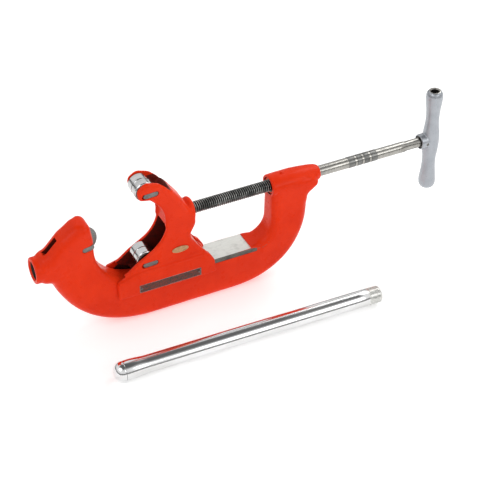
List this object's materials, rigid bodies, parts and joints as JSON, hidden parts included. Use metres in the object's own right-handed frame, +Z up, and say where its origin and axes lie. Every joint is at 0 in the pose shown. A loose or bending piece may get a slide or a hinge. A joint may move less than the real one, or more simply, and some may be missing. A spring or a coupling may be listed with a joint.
{
  "type": "pipe cutter",
  "caption": "Heavy-duty C-frame pipe cutter: a cutter wheel in the hook, a sliding jaw with rollers on a feed screw with T-handle, and a loose tubular handle.",
  "frame": {"origin": "on the flat underside of the frame's belly, in the tool's middle plane, below the throat's right-hand side", "axes": "+X along the feed screw towards the T-handle, +Y across the tool towards its far side, +Z up from the surface it stands on"},
  "size_m": [0.8199, 0.2184, 0.308],
  "materials": {
    "red_enamel": "glossy orange-red enamel on cast iron",
    "oxidised_steel": "dark oxidised steel",
    "ground_steel": "ground steel",
    "plated_steel": "bright plated steel",
    "cast_handle": "satin grey casting",
    "bronze": "machined bronze",
    "brass": "pale stamped brass",
    "etched_plate": "dark etched plate",
    "black_rubber": "matte black rubber"
  },
  "bodies": {
    "frame": {"frame_casting": "red_enamel", "feed_nut": "bronze", "nut_lock_screw": "oxidised_steel", "wheel_pin": "ground_steel", "wheel_pin_clip": "oxidised_steel"},
    "wheel": {"cutter_wheel": "oxidised_steel"},
    "jaw": {"jaw_housing": "red_enamel", "upper_roller_pin": "ground_steel", "lower_roller_pin": "ground_steel", "upper_pin_clip": "oxidised_steel", "lower_pin_clip": "oxidised_steel", "thrust_disc": "ground_steel", "screw_retainer_near": "ground_steel", "screw_retainer_far": "ground_steel", "screw_wiper": "black_rubber", "nameplate": "etched_plate", "nameplate_rivet_left": "ground_steel", "nameplate_rivet_right": "ground_steel", "badge": "brass"},
    "upper_roller": {"upper_roller": "plated_steel"},
    "lower_roller": {"lower_roller": "plated_steel"},
    "screw": {"feed_screw": "ground_steel", "t_handle": "cast_handle", "t_handle_pin": "oxidised_steel", "t_handle_ring": "black_rubber", "t_handle_washer": "ground_steel"},
    "loose_handle": {"handle_tube": "plated_steel", "handle_end_cap": "plated_steel"}
  },
  "joints": [
    {"name": "wheel_spin", "type": "hinge", "parent": "frame", "child": "wheel", "pos_m": [-0.2, 0, 0.198], "axis": [0, 1, 0], "continuous": true},
    {"name": "jaw_slide", "type": "slide", "parent": "frame", "child": "jaw", "axis": [1, 0, 0], "range_m": [-0.017, 0.076]},
    {"name": "screw_turn", "type": "hinge", "parent": "jaw", "child": "screw", "pos_m": [0, 0, 0.2], "axis": [1, 0, 0], "range_deg": [-1528, 6838]},
    {"name": "upper_roller_spin", "type": "hinge", "parent": "jaw", "child": "upper_roller", "pos_m": [-0.0825, 0, 0.2765], "axis": [0, 1, 0], "continuous": true},
    {"name": "lower_roller_spin", "type": "hinge", "parent": "jaw", "child": "lower_roller", "pos_m": [-0.085, 0, 0.1275], "axis": [0, 1, 0], "continuous": true},
    {"name": "handle_slide", "type": "slide", "parent": "frame", "child": "loose_handle", "axis": [-0.9646, 0.2005, 0.1712], "range_m": [0, 0.842]}
  ],
  "couplings": [
    {"joint": "jaw_slide", "follows": "screw_turn", "m_per_rad": 0.00063662}
  ]
}
